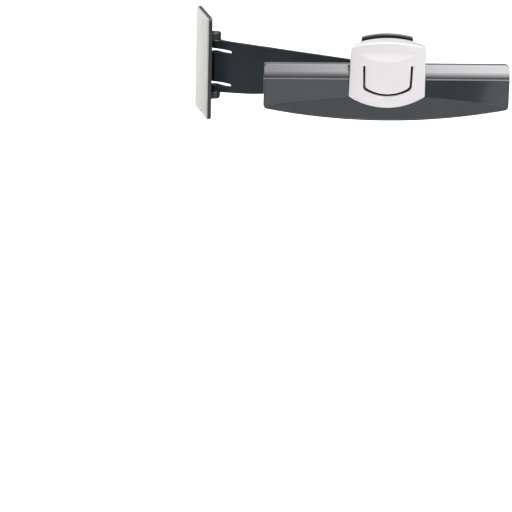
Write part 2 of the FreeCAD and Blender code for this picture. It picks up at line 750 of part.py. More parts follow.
def jaw_spring():
    """A close-wound torsion spring on the jaw pin: one leg on the tab, one on the jaw."""
    pitch = 2 * COIL_HALF / COIL_TURNS
    x = -COIL_HALF
    bottom = COIL_R - WIRE_R
    edges = [line((x, 0, bottom), (-x, 0, bottom)), line((-x, 0, bottom), (-x, 0, COIL_R))]
    for turn in range(COIL_TURNS):
        start = COIL_HALF - turn * pitch
        crest = (start - pitch / 2, 0, COIL_R + WIRE_R)
        edges.append(arc((start, 0, COIL_R), crest, (start - pitch, 0, COIL_R)))
    edges.append(line((x, 0, COIL_R), (x, 0, bottom)))
    coil = Part.Face(Part.Wire(edges)).revolve(V(0, 0, 0), V(1, 0, 0), 360)
    coil.translate(V(0, PIVOT_Y, PIVOT_Z))
    tab_leg = spring_leg(WIRE_R - COIL_HALF, PIVOT_Y + COIL_R, TAB_FRONT - WIRE_R - 0.1, 45.0)
    jaw_leg = spring_leg(COIL_HALF - WIRE_R, PIVOT_Y - COIL_R, -4.6, 42.0)
    return coil.fuse(tab_leg).fuse(jaw_leg)


save("mount_plate", mount_plate())
save("adhesive_pad", adhesive_pad())
for end, upper in (("upper", True), ("lower", False)):
    save(f"hinge_pin_{end}", hinge_pin(upper))
    save(f"hinge_washer_{end}", hinge_washer(upper))
    save(f"swivel_washer_{end}", on_head(swivel_washer(upper)))
save("swing_arm", on_arm(swing_arm()))
save("document_bar", on_head(document_bar()))
save("bar_pad", on_head(bar_pad()))
save("bar_screws", on_head(bar_screws()))
save("clip_back", on_head(clip_back()))
save("swivel_pin", on_head(swivel_pin()))
save("swivel_clip", on_head(swivel_clip()))
save("swivel_spring_washer", on_head(spring_washer()))
save("jaw_pin", on_head(jaw_pin()))
save("jaw_spring", on_head(jaw_spring()))
save("front_jaw", on_head(front_jaw()))
save("jaw_pad", on_head(jaw_pad()))
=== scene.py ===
import json
import math

import bmesh
import bpy
import numpy as np
from mathutils import Matrix, Vector
from mathutils.geometry import delaunay_2d_cdt

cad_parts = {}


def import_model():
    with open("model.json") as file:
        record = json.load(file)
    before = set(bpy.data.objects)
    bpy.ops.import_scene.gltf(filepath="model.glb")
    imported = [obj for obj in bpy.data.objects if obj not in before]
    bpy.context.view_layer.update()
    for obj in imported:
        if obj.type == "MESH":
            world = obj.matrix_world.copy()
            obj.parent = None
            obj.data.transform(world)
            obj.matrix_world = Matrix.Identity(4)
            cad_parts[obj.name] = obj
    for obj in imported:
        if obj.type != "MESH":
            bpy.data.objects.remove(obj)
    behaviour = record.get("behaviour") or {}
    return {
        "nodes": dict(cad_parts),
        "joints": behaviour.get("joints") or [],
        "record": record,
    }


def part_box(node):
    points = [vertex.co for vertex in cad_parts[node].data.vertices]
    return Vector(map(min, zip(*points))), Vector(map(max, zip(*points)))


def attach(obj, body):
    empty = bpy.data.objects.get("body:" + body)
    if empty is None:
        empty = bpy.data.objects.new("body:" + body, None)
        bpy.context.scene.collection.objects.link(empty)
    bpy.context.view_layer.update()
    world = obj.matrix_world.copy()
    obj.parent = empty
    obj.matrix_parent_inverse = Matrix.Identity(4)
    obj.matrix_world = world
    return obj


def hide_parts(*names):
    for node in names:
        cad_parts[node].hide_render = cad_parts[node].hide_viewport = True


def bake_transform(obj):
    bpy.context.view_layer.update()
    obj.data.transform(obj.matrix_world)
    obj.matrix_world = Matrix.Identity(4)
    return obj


# A document clip on a swing arm, for the side of a monitor. Metres, +Z up; the clip head's
# own meshes are drawn in millimetres about the middle of the document bar's front face,
# with the bar along X and Y pointing back, and then placed with the head's matrix.

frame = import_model()
bpy.context.view_layer.update()
nodes = frame["nodes"]
joints = {joint["name"]: joint for joint in frame["joints"]}

MM = 0.001
SWIVEL_BACK = 16.0

# Document bar
BAR_HALF = 100.0
BAR_TOP = 26.1
BAR_CORNER_Z = -9.9
BAR_LOW_Z = -18.95
BAR_WALL = 2.4
BAR_CORNER_R = 3.0
BAR_END_STEPS = (0.0, 0.04, 0.11, 0.22, 0.35, 0.55, 0.76, 1.0, 1.35, 1.8, 2.4, 3.0, 3.8)
LEDGE_Z = 14.9
LEDGE_DEEP = 0.7
LEDGE_HIGH = 0.45
LEDGE_ROUND = 0.3
ROLL_R = 9.0
BAND_LEAN = math.radians(36.0)
RIM_BACK = 11.2
RIM_R = 0.35
CROWN_R = 0.3
FOLD_R = 561.0
FOLD_LOW = -560.0
FOLD_SLOPE = 0.14
FOLD_ROUND = 0.25
FOLD_STEPS = (-0.6, -0.35, -0.15, 0.0, 0.15, 0.35, 0.6)
EDGE_R = 0.35
RIB_XS = (35.0, 65.0, 92.0)
RIB_THICK = 1.4
RIB_BACK = RIM_BACK - 0.2
RIB_OUTLINE = ((2.0, 13.0), (2.0, 16.0), (9.0, 25.5), (RIB_BACK, 25.5), (RIB_BACK, 22.8))

# Front jaw
JAW_WALL = 2.6
JAW_BOW_R = 233.0
JAW_LOW = -7.6
JAW_TOP = 48.3
JAW_FRONT_LOW = -4.5
JAW_FRONT_TOP = -8.6
JAW_LOW_CORNER = (31.0, 1.4)
JAW_TOP_CORNER = (30.2, 43.9)
JAW_LOW_R = 0.9
JAW_TOP_R = 2.0
JAW_EDGE_R = 0.7
JAW_BACK = 3.6
JAW_BACK_R = 110.0
FLANGE_WALL = 2.2
FLANGE_R = 0.3
FLANGE_LOW_Z = 8.0
FLANGE_TOP_Z = 36.0
FLANGE_LOW_Y = -1.2
FLANGE_TOP_Y = 6.0
FLANGE_RISE = 3.2
FLARE_LOW_Z = 30.0
FLARE_RISE = 4.0
TONGUE_HALF = 20.3
TONGUE_TOP = 27.7
TONGUE_LOW = 2.3
TONGUE_CORNER_Z = 8.0
TONGUE_GAP = 1.9
TONGUE_TAPER = 0.5
TONGUE_SIDE_STEPS = 50
TONGUE_FOOT_STEPS = 90
TONGUE_CORNER_STEPS = 12
SLOT_EDGE_R = 0.18
SLOT_END_STEPS = 8
SCOOP_LOW = (115.0, 83.4, 0.18)
SCOOP_HIGH = (-37.4, 80.4, 0.311)
SCOOP_Y = -7.3
SCOOP_HALF = 23.0
SCOOP_SOFT = 0.75
SCOOP_EDGE_X = 26.0
SCOOP_EDGE_ZS = (29.0, 39.0)
SCOOP_PATCH = (-28, 28, 29, 46.6, 0.5)
JAW_LUG_X = (21.1, 24.1)
JAW_LUG_FRONT = -6.2
PIVOT_Y = 1.0
PIVOT_Z = 31.0
EYE_R = 3.2

# Jaw spring
COIL_HALF = 8.4
COIL_TURNS = 13
COIL_STEPS = 24
COIL_R = 2.55
WIRE_R = 0.62
WIRE_SLACK = 0.92
LEG_SHARES = (0.15, 0.5, 0.85, 1.0)
TAB_FRONT = 8.8
TAB_LEG_Z = 45.0
JAW_LEG_TIP = (-4.5, 42.0)

# Foam pad
FOAM_CORNER = 2.0
FOAM_DRAWS = (0.12, 0.02, 0.07, 0.14, 0.07, 0.02, 0.12)
FOAM_WAVE = 0.035

# How widely the edges of carried-over CAD nodes are rounded
SOFTENED = {"clip_back": 0.35, "swing_arm": 0.25, "jaw_pad": 0.15, "bar_pad": 0.15}

# Triangulated patches: spacing of rows, and of points from lines, in steps of the grid
ROW_STEP = 0.87
LINE_CLEARANCE = 0.45

# Camera and studio
CAMERA_AT = (-0.59963, -2.59104, 0.75034)
CAMERA_TURN = math.radians(14.1)
CAMERA_TILT = math.radians(19.1)
CAMERA_ROLL = math.radians(1.33)
CAMERA_LENS = 231.4
FLOOR_Z = -0.30
WORLD_FADE = (-0.8, 0.3, 0.82, 0.46)


# ---- placing ----


def head_matrix():
    """The clip head's own frame, from its swivel axis and the jaw's pivot axis."""
    axis = joints["jaw_open"]["axis"]
    along = Vector((-axis[0], -axis[1], 0)).normalized()
    back = Vector((-along.y, along.x, 0))
    swivel = Vector(joints["head_swivel"]["pos_m"])
    origin = Vector((swivel.x, swivel.y, 0)) - back * SWIVEL_BACK * MM
    turn = Matrix.Rotation(math.atan2(along.y, along.x), 4, "Z")
    return Matrix.Translation(origin) @ turn


HEAD = head_matrix()


# ---- mesh building ----


class Shell:
    """Points in millimetres and faces, gathered from several patches and then welded."""

    def __init__(self):
        self.points = []
        self.faces = []

    def add(self, points, faces):
        first = len(self.points)
        self.points += [tuple(p) for p in points]
        self.faces += [tuple(first + i for i in face) for face in faces]

    def strip(self, a, b):
        """Quads between two closed loops with the same number of points."""
        n = len(a)
        faces = [(i, (i + 1) % n, n + (i + 1) % n, n + i) for i in range(n)]
        self.add(list(a) + list(b), faces)

    def loft(self, loops, capped):
        for a, b in zip(loops, loops[1:]):
            self.strip(a, b)
        if capped:
            for end in (loops[0], loops[-1]):
                self.add(end, [tuple(range(len(end)))])

    def piece(self, name, body, material, placed, sharp=38.0):
        """The welded, smooth-shaded object, riding on a CAD body if one is named."""
        mesh = bpy.data.meshes.new(name)
        mesh.from_pydata([placed @ (Vector(p) * MM) for p in self.points], [], self.faces)
        work = bmesh.new()
        work.from_mesh(mesh)
        bmesh.ops.remove_doubles(work, verts=work.verts, dist=4e-6)
        bmesh.ops.dissolve_degenerate(work, edges=work.edges, dist=1e-6)
        bmesh.ops.triangulate(work, faces=[f for f in work.faces if len(f.verts) > 4])
        bmesh.ops.recalc_face_normals(work, faces=work.faces)
        work.to_mesh(mesh)
        work.free()
        mesh.shade_smooth()
        mesh.set_sharp_from_angle(angle=math.radians(sharp))
        made = bpy.data.objects.new(name, mesh)
        bpy.context.scene.collection.objects.link(made)
        made.data.materials.append(material.material)
        if body:
            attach(made, body)
        return made


def shifted(loop, amount):
    """A closed loop of (a, b) points moved in by amount along its own normals."""
    p = np.array(loop, float)
    step = np.roll(p, -1, 0) - np.roll(p, 1, 0)
    step /= np.maximum(np.linalg.norm(step, axis=1), 1e-9)[:, None]
    area = np.sum(p[:, 0] * np.roll(p[:, 1], -1) - np.roll(p[:, 0], -1) * p[:, 1])
    side = 1 if area > 0 else -1
    return p + side * amount * np.stack([-step[:, 1], step[:, 0]], 1)


def inside(points, loop):
    """True for each (x, z) point inside the closed loop."""
    p, q = np.array(points, float), np.array(loop, float)
    hit = np.zeros(len(p), bool)
    for a, b in zip(q, np.roll(q, -1, 0)):
        if a[1] != b[1]:
            crosses = (a[1] > p[:, 1]) != (b[1] > p[:, 1])
            at = a[0] + (p[:, 1] - a[1]) * (b[0] - a[0]) / (b[1] - a[1])
            hit ^= crosses & (p[:, 0] < at)
    return hit


def gap_to(points, line):
    """Each point's distance to the nearest point of a dense line."""
    p, q = np.array(points, float), np.array(line, float)
    best = np.full(len(p), 1e9)
    for point in q:
        best = np.minimum(best, np.hypot(p[:, 0] - point[0], p[:, 1] - point[1]))
    return best


def skin(shell, height, border, holes, creases, step, fine=None):
    """A triangulated patch y = height(x, z) inside a border, round holes and along creases."""
    low, high = np.min(border, 0), np.max(border, 0)
    lines = [border, *holes, *creases]
    rows = []
    for k, z in enumerate(np.arange(low[1], high[1], step * ROW_STEP)):
        rows += [(x, z) for x in np.arange(low[0] + (k % 2) * step / 2, high[0], step)]
    if fine:
        x0, x1, z0, z1, small = fine
        rows = [p for p in rows if not (x0 < p[0] < x1 and z0 < p[1] < z1)]
        for k, z in enumerate(np.arange(z0, z1, small * ROW_STEP)):
            rows += [(x, z) for x in np.arange(x0 + (k % 2) * small / 2, x1, small)]
    rows = np.array(rows)
    keep = inside(rows, border)
    for hole in holes:
        keep &= ~inside(rows, hole)
    for line in lines:
        keep &= gap_to(rows, line) > step * LINE_CLEARANCE
    rows = rows[keep]
    points, edges = [], []
    for line in lines:
        first, count = len(points), len(line)
        points += [tuple(p) for p in line]
        last = count - 1 if any(line is c for c in creases) else count
        edges += [(first + i, first + (i + 1) % count) for i in range(last)]
    points += [tuple(p) for p in rows]
    made = delaunay_2d_cdt([Vector(p) for p in points], edges, [], 0, 1e-7)
    flat = np.array([tuple(v) for v in made[0]])
    faces = np.array([f for f in made[2] if len(f) == 3])
    middle = flat[faces].mean(1)
    keep = inside(middle, border)
    for hole in holes:
        keep &= ~inside(middle, hole)
    shell.add([(x, height(x, z), z) for x, z in flat], faces[keep].tolist())


def rounded(edges, trims, steps, corner_steps=7):
    """Points round a closed outline of edge functions of 0..1, with its corners rounded."""
    lengths = [math.dist(edge(0), edge(0.5)) + math.dist(edge(0.5), edge(1)) for edge in edges]
    loop = []
    for i, edge in enumerate(edges):
        after = (i + 1) % len(edges)
        start, end = trims[i - 1] / lengths[i], 1 - trims[i] / lengths[i]
        loop += [edge(start + (end - start) * k / steps[i]) for k in range(steps[i] + 1)]
        a, corner = np.array(edge(end)), np.array(edge(1))
        b = np.array(edges[after](trims[i] / lengths[after]))
        for k in range(1, corner_steps):
            t = k / corner_steps
            loop.append(tuple(a * (1 - t) ** 2 + 2 * corner * t * (1 - t) + b * t * t))
    return loop


def straight(p, q):
    return lambda t: (p[0] + (q[0] - p[0]) * t, p[1] + (q[1] - p[1]) * t)


def bowed(x0, x1, half, end_z, middle_z):
    """A circular arc in (x, z) from x0 to x1, whose full chord is 2 * half wide."""
    rise = middle_z - end_z
    radius = (half * half + rise * rise) / (2 * abs(rise))
    side = 1 if rise > 0 else -1

    def point(t):
        x = x0 + (x1 - x0) * t
        return (x, middle_z - side * (radius - math.sqrt(radius * radius - x * x)))

    return point


def prism(shell, outline, x0, x1, soften):
    """A prism along X of a (y, z) outline, with softened edges."""
    inner = shifted(outline, soften)
    middle = shifted(outline, soften * 0.3)
    loops = [
        [(x0, y, z) for y, z in inner],
        [(x0 + soften * 0.3, y, z) for y, z in middle],
        [(x0 + soften, y, z) for y, z in outline],
        [(x1 - soften, y, z) for y, z in outline],
        [(x1 - soften * 0.3, y, z) for y, z in middle],
        [(x1, y, z) for y, z in inner],
    ]
    shell.loft(loops, True)


# ---- materials ----


class Look:
    """A node material built up from small steps."""

    def __init__(self, name, colour, roughness, metallic=0.0):
        self.material = bpy.data.materials.new(name)
        self.material.use_nodes = True
        self.tree = self.material.node_tree
        self.shader = self.tree.nodes["Principled BSDF"]
        self.shader.inputs["Base Color"].default_value = (*colour, 1)
        self.shader.inputs["Roughness"].default_value = roughness
        self.shader.inputs["Metallic"].default_value = metallic
        self.place = self.tree.nodes.new("ShaderNodeTexCoord").outputs["Object"]
        self.bump = None

    def set(self, **values):
        for name, value in values.items():
            self.shader.inputs[name.replace("_", " ")].default_value = value
        return self

    def node(self, kind, **values):
        made = self.tree.nodes.new(kind)
        for name, value in values.items():
            setattr(made, name, value)
        return made

    def noise(self, size, detail=3.0, stretch=None, turn=0.0):
        """Noise whose blobs are about size metres across."""
        made = self.node("ShaderNodeTexNoise")
        made.inputs["Scale"].default_value = 1 / size
        made.inputs["Detail"].default_value = detail
        source = self.place
        if stretch:
            spin = self.node("ShaderNodeVectorRotate", rotation_type="Z_AXIS")
            spin.inputs["Angle"].default_value = -turn
            squeeze = self.node("ShaderNodeMapping")
            squeeze.inputs["Scale"].default_value = stretch
            self.link(source, spin.inputs["Vector"])
            self.link(spin.outputs["Vector"], squeeze.inputs["Vector"])
            source = squeeze.outputs["Vector"]
        self.link(source, made.inputs["Vector"])
        return made.outputs["Fac"]

    def link(self, a, b):
        self.tree.links.new(a, b)

    def between(self, value, low, high, out_low, out_high):
        made = self.node("ShaderNodeMapRange")
        self.link(value, made.inputs["Value"])
        for name, number in (
            ("From Min", low),
            ("From Max", high),
            ("To Min", out_low),
            ("To Max", out_high),
        ):
            made.inputs[name].default_value = number
        return made.outputs["Result"]

    def times(self, a, b):
        made = self.node("ShaderNodeMath", operation="MULTIPLY")
        self.link(a, made.inputs[0])
        self.link(b, made.inputs[1])
        return made.outputs["Value"]

    def size_of(self, a):
        made = self.node("ShaderNodeMath", operation="ABSOLUTE")
        self.link(a, made.inputs[0])
        return made.outputs["Value"]

    def tint(self, mask, colour):
        """Blends the base colour towards another where the mask is 1."""
        mix = self.node("ShaderNodeMix", data_type="RGBA")
        base = self.shader.inputs["Base Color"]
        if base.is_linked:
            self.link(base.links[0].from_socket, mix.inputs["A"])
        else:
            mix.inputs["A"].default_value = base.default_value
        mix.inputs["B"].default_value = (*colour, 1)
        self.link(mask, mix.inputs["Factor"])
        self.link(mix.outputs["Result"], base)
        return self

    def rough(self, mask, low, high):
        self.link(self.between(mask, 0.3, 0.7, low, high), self.shader.inputs["Roughness"])
        return self

    def raise_by(self, height, depth, strength=1.0):
        """Adds a bump of this depth in metres to those already there."""
        made = self.node("ShaderNodeBump")
        made.inputs["Strength"].default_value = strength
        made.inputs["Distance"].default_value = depth
        self.link(height, made.inputs["Height"])
        if self.bump:
            self.link(self.bump, made.inputs["Normal"])
        self.bump = made.outputs["Normal"]
        self.link(self.bump, self.shader.inputs["Normal"])
        return self

    def edge_mask(self, radius):
        """1 on edges and 0 on flat parts: how far a bevelled normal turns from the true one."""
        soft = self.node("ShaderNodeBevel", samples=4)
        soft.inputs["Radius"].default_value = radius
        true = self.node("ShaderNodeNewGeometry").outputs["Normal"]
        dot = self.node("ShaderNodeVectorMath", operation="DOT_PRODUCT")
        self.link(soft.outputs["Normal"], dot.inputs[0])
        self.link(true, dot.inputs[1])
        return self.between(dot.outputs["Value"], 0.97, 0.75, 0.0, 1.0)


def moulded(name, colour, roughness, grain, depth, worn, shine=0.5, shade=0.45):
    """Moulded plastic: fine mould grain, slow colour drift and edges polished by handling.

    The shine fades away in corners as painted shade: ambient occlusion dims the specular where only the
    share called shade of the view is open.
    """
    look = Look(name, colour, roughness)
    # Painted shade: the specular level drops with ambient occlusion, so corners and hollows lose their
    # shine.
    corner = look.node("ShaderNodeAmbientOcclusion", samples=8)
    corner.inputs["Distance"].default_value = 0.03
    gloss = look.between(corner.outputs["AO"], shade, 0.95, 0.02, shine)
    look.link(gloss, look.shader.inputs["Specular IOR Level"])
    cloud = look.noise(0.03, 2.0)
    look.tint(look.between(cloud, 0.3, 0.7, 0.0, 0.5), tuple(c * 0.8 for c in colour))
    look.tint(look.between(look.noise(0.0007, 4.0), 0.62, 0.75, 0.0, 0.25), worn)
    look.tint(look.between(look.edge_mask(0.0006), 0, 1, 0.0, 0.35), worn)
    look.rough(look.noise(0.012, 4.0), roughness * 0.92, roughness * 1.12)
    look.raise_by(look.noise(grain, 2.0), depth)
    return look


def gloss_black():
    """Polished black plastic: a little mould waviness, fine rubbing marks and dust."""
    look = Look("bar_gloss", (0.005, 0.0082, 0.0105), 0.1)
    look.set(Specular_IOR_Level=0.5, Coat_Weight=1.0, Coat_Roughness=0.05)
    marks = look.noise(0.004, 6.0, (1.0, 24.0, 24.0), math.radians(-10.9))
    look.rough(marks, 0.085, 0.15)
    dust = look.between(look.noise(0.00045, 3.0), 0.7, 0.82, 0.0, 0.3)
    look.tint(dust, (0.09, 0.09, 0.092))
    look.tint(look.between(look.noise(0.05, 2.0), 0.35, 0.65, 0.0, 0.4), (0.008, 0.0112, 0.0145))
    look.raise_by(look.noise(0.011, 1.0), 0.00003, 0.5)
    look.raise_by(marks, 0.0000025, 0.5)
    return look


def pearl_silver():
    """Silver lacquer: fine metal flake under a satin clear coat."""
    look = Look("jaw_silver", (0.505, 0.493, 0.501), 0.36, 0.4)
    look.set(Coat_Weight=0.2, Coat_Roughness=0.25)
    flake = look.node("ShaderNodeTexVoronoi")
    flake.inputs["Scale"].default_value = 1 / 0.00016
    look.link(look.place, flake.inputs["Vector"])
    split = look.node("ShaderNodeSeparateColor")
    look.link(flake.outputs["Color"], split.inputs["Color"])
    look.tint(look.between(split.outputs["Red"], 0.0, 1.0, 0.0, 0.35), (0.59, 0.578, 0.586))
    look.tint(look.between(look.noise(0.02, 3.0), 0.3, 0.7, 0.0, 0.3), (0.47, 0.46, 0.47))
    look.rough(split.outputs["Green"], 0.30, 0.38)
    look.raise_by(look.noise(0.0003, 2.0), 0.000004, 0.5)
    return look


def rubber():
    look = Look("rubber", (0.022, 0.022, 0.023), 0.75)
    look.tint(look.between(look.noise(0.0015, 5.0), 0.5, 0.75, 0.0, 0.5), (0.06, 0.06, 0.06))
    look.rough(look.noise(0.004, 4.0), 0.65, 0.9)
    rib = look.node("ShaderNodeTexWave", bands_direction="Z")
    rib.inputs["Scale"].default_value = 260
    look.link(look.place, rib.inputs["Vector"])
    look.raise_by(rib.outputs["Fac"], 0.00012, 0.6)
    look.raise_by(look.noise(0.0004, 3.0), 0.00001, 0.6)
    return look


def metal(name, colour, low, high, stretch):
    """Steel with turning or drawing marks and a thin, uneven film of oil."""
    look = Look(name, colour, low, 1.0)
    dull = tuple(c * 0.72 for c in colour)
    look.tint(look.between(look.noise(0.0022, 4.0), 0.35, 0.7, 0.0, 0.6), dull)
    marks = look.noise(0.0012, 3.0, stretch)
    look.rough(marks, low, high)
    look.raise_by(marks, 0.000004, 0.6)
    return look


def nylon():
    look = Look("nylon", (0.74, 0.72, 0.66), 0.45)
    look.set(Subsurface_Weight=0.25, Subsurface_Radius=(0.0008, 0.0008, 0.0007))
    look.tint(look.between(look.noise(0.003, 3.0), 0.4, 0.7, 0.0, 0.5), (0.66, 0.63, 0.56))
    look.rough(look.noise(0.001, 3.0), 0.38, 0.55)
    look.raise_by(look.noise(0.0003, 2.0), 0.000006, 0.5)
    return look


def foam():
    """Closed-cell foam tape: a skin of fine cells, with painted shade greying its hollows."""
    look = Look("foam", (0.3, 0.3, 0.29), 0.85)
    look.set(Subsurface_Weight=0.15, Subsurface_Radius=(0.0006, 0.0006, 0.0006))
    cells = look.node("ShaderNodeTexVoronoi")
    cells.inputs["Scale"].default_value = 1 / 0.00035
    look.link(look.place, cells.inputs["Vector"])
    # Painted shade: the hollows of the cells are tinted grey, where their shade would fall.
    hollow = look.between(cells.outputs["Distance"], 0.0, 0.45, 1.0, 0.0)
    look.tint(look.between(hollow, 0, 1, 0, 0.35), (0.2, 0.2, 0.195))
    look.tint(look.between(look.noise(0.01, 4.0), 0.45, 0.75, 0.0, 0.3), (0.26, 0.255, 0.24))
    look.raise_by(cells.outputs["Distance"], 0.00006, 0.7)
    return look


PLATE = (0.012, 0.0135, 0.0145)
# The arm's colour is its black plastic made darker still as painted shade, standing in for a monitor
# shading it from the left.
ARM_WITH_PAINTED_SHADE = (0.0035, 0.0058, 0.0075)
BACK = (0.013, 0.014, 0.015)
LOOKS = {
    "plate_plastic": moulded("plate_satin", PLATE, 0.34, 0.00045, 0.000012, (0.04, 0.042, 0.044)),
    "arm_plastic": moulded("arm_satin", ARM_WITH_PAINTED_SHADE, 0.31, 0.00045, 0.000012, (0.02, 0.022, 0.023)),
    # The back's shine is 0.9, and its painted corner shade sets in where 0.7 of the view is open.
    "back_plastic": moulded("back_satin", BACK, 0.31, 0.0006, 0.000008, (0.06, 0.06, 0.06), 0.9, 0.7),
    "bar_plastic": gloss_black(),
    "jaw_plastic": pearl_silver(),
    "grip_rubber": rubber(),
    "steel": metal("steel", (0.60, 0.60, 0.61), 0.28, 0.4, (1.0, 1.0, 14.0)),
    "spring_steel": metal("spring_steel", (0.34, 0.345, 0.36), 0.29, 0.42, (1.0, 6.0, 6.0)),
    "black_steel": metal("black_steel", (0.05, 0.05, 0.053), 0.3, 0.5, (1.0, 1.0, 1.0)),
    "nylon": nylon(),
    "foam": foam(),
}
# The arm's plastic has a slightly blue sheen.
LOOKS["arm_plastic"].set(Specular_Tint=(0.82, 0.93, 1.0, 1))


# ---- document bar ----


def corner_inset(u, radius):
    """How far a rounded corner has drawn in, at a distance u from the end."""
    if u >= radius:
        return 0.0
    return radius - math.sqrt(max(radius * radius - (radius - u) ** 2, 0.0))


def facet_y(x, z):
    """The bar's flat face, kicked forward below its bowed fold line."""
    below = FOLD_R - math.hypot(x, z - FOLD_LOW)
    soft = 0.5 * (below + math.sqrt(below * below + FOLD_ROUND * FOLD_ROUND))
    return -FOLD_SLOPE * (soft - 0.5 * FOLD_ROUND * math.exp(-abs(below)))


def spread(a, b, count):
    return [a + (b - a) * k / count for k in range(count + 1)]


def arc_points(y, z, radius, start, end, count):
    """Points of an arc in (y, z); angles in degrees from +Y towards +Z."""
    angles = [math.radians(a) for a in spread(start, end, count)]
    return [(y + radius * math.cos(a), z + radius * math.sin(a)) for a in angles]


def bar_section(x):
    """The bar's closed (y, z) section at x, from the bottom of its front face round."""
    end = BAR_HALF - abs(x)
    radius = (BAR_HALF**2 + (BAR_CORNER_Z - BAR_LOW_Z) ** 2) / (2 * (BAR_CORNER_Z - BAR_LOW_Z))
    low = BAR_LOW_Z + radius - math.sqrt(radius**2 - x * x) + corner_inset(end, BAR_CORNER_R)
    top = BAR_TOP - corner_inset(end, BAR_CORNER_R)
    fold = FOLD_LOW + math.sqrt(FOLD_R**2 - x * x)
    start = low + EDGE_R
    heights = spread(start, max(fold - 0.9, start + 0.2), 9)
    heights += [fold + step for step in FOLD_STEPS]
    heights += spread(fold + 1.0, LEDGE_Z - 0.3, 10)
    for k in range(1, len(heights)):
        heights[k] = max(heights[k], heights[k - 1] + 0.02)
    face = [(facet_y(x, z), z) for z in heights]
    ledge_top = LEDGE_Z + LEDGE_HIGH
    ledge = arc_points(LEDGE_ROUND, LEDGE_Z, LEDGE_ROUND, 180, 90, 5)
    ledge += [(LEDGE_DEEP - 0.12, ledge_top - 0.04), (LEDGE_DEEP, ledge_top + 0.08)]
    lean = math.degrees(BAND_LEAN)
    roll = arc_points(LEDGE_DEEP + ROLL_R, ledge_top, ROLL_R, 178.5, 180 - lean, 14)
    roll_y, roll_z = roll[-1]
    slope = math.tan(BAND_LEAN)

    def band_y(z):
        return roll_y + (z - roll_z) * slope

    band = [(band_y(z), z) for z in spread(roll_z + 0.4, top - CROWN_R, 5)]
    edge = arc_points(band_y(top) + CROWN_R * 0.75, top - CROWN_R, CROWN_R, 150, 90, 3)
    under = top - BAR_WALL
    rim = [(y, top) for y in spread(edge[-1][0] + 0.3, RIM_BACK - 0.4, 4)]
    rim += arc_points(RIM_BACK - RIM_R, top - RIM_R, RIM_R, 75, 15, 3)
    rim += [(RIM_BACK, top - 0.8), (RIM_BACK, under + 0.8)]
    rim += arc_points(RIM_BACK - RIM_R, under + RIM_R, RIM_R, -15, -75, 3)
    rim += [(y, under) for y in spread(RIM_BACK - 0.6, band_y(under) + BAR_WALL + 0.3, 3)]
    inner = [(band_y(z) + BAR_WALL, z) for z in spread(under - 0.3, roll_z + 0.2, 4)]
    inner += [(y + BAR_WALL, z) for y, z in roll[::-1]]
    inner += [(y + BAR_WALL, z) for y, z in ledge[::-1]]
    inner += [(y + BAR_WALL, z) for y, z in face[::-1]]
    back_y, front_y = face[0][0] + BAR_WALL, face[0][0]
    foot = arc_points(back_y - EDGE_R, start, EDGE_R, -15, -75, 3)
    foot += arc_points(front_y + EDGE_R, start, EDGE_R, -105, -165, 3)
    return face + ledge + roll + band + edge + rim + inner + foot


def document_bar():
    shell = Shell()
    near = [BAR_HALF - u for u in BAR_END_STEPS]
    middle = spread(-near[-1] + 1.6, near[-1] - 1.6, 120)
    loops = []
    for x in [-x for x in near] + middle + near[::-1]:
        section = shifted(bar_section(x), corner_inset(BAR_HALF - abs(x), EDGE_R))
        loops.append([(x, y, z) for y, z in section])
    shell.loft(loops, True)
    for x in RIB_XS:
        for middle_x in (-x, x):
            prism(shell, RIB_OUTLINE, middle_x - RIB_THICK / 2, middle_x + RIB_THICK / 2, 0.2)
    made = shell.piece("document_bar_shell", "head", LOOKS["bar_plastic"], HEAD)
    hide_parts("document_bar")


# ---- front jaw ----

JAW_LEAN = math.atan2(JAW_FRONT_LOW - JAW_FRONT_TOP, JAW_TOP - JAW_LOW)
LEAN_SIN, LEAN_COS = math.sin(JAW_LEAN), math.cos(JAW_LEAN)


def bow(x, depth=0.0):
    """How far back the jaw's bowed surface lies at x, for a surface this deep behind it."""
    radius = JAW_BOW_R - depth
    return depth + radius - math.sqrt(radius * radius - x * x)


def jaw_point(x, up, back):
    """A point of the leaning jaw: up along it from its lower edge, and back through it."""
    y = JAW_FRONT_LOW - LEAN_SIN * up + LEAN_COS * back
    return (x, y, JAW_LOW + LEAN_COS * up + LEAN_SIN * back)


def jaw_y(x, z, depth=0.0):
    back = bow(x, depth)
    up = (z - JAW_LOW - LEAN_SIN * back) / LEAN_COS
    return JAW_FRONT_LOW - LEAN_SIN * up + LEAN_COS * back


def softer(a, b, width, side):
    """The larger (side 1) or smaller (side -1) of two heights, blended over a width."""
    return 0.5 * (a + b + side * math.sqrt((a - b) ** 2 + width * width))


def scoop_cone(cone, x, z):
    centre_z, radius, slope = cone
    return SCOOP_Y + slope * (radius - math.hypot(x, z - centre_z))


def jaw_face(x, z):
    """The jaw's front surface with the thumb scoop pressed into it."""
    front = jaw_y(x, z)
    width = 0.02 + SCOOP_SOFT * max(0.0, 1 - (x / SCOOP_HALF) ** 2)
    upper = softer(front, scoop_cone(SCOOP_HIGH, x, z), 0.3 * width, 1)
    hollow = softer(scoop_cone(SCOOP_LOW, x, z), upper, width, -1)
    return max(front, hollow)


def scoop_edge():
    """The scoop's crisp lower edge, where its hollow meets the front surface."""
    edge = []
    for x in np.arange(-SCOOP_EDGE_X, SCOOP_EDGE_X + 0.01, 0.4):
        low, high = SCOOP_EDGE_ZS
        if jaw_face(x, high) < jaw_y(x, high) + 0.02:
            continue
        for _ in range(40):
            z = 0.5 * (low + high)
            if jaw_face(x, z) > jaw_y(x, z) + 1e-6:
                high = z
            else:
                low = z
        edge.append((float(x), low))
    return edge


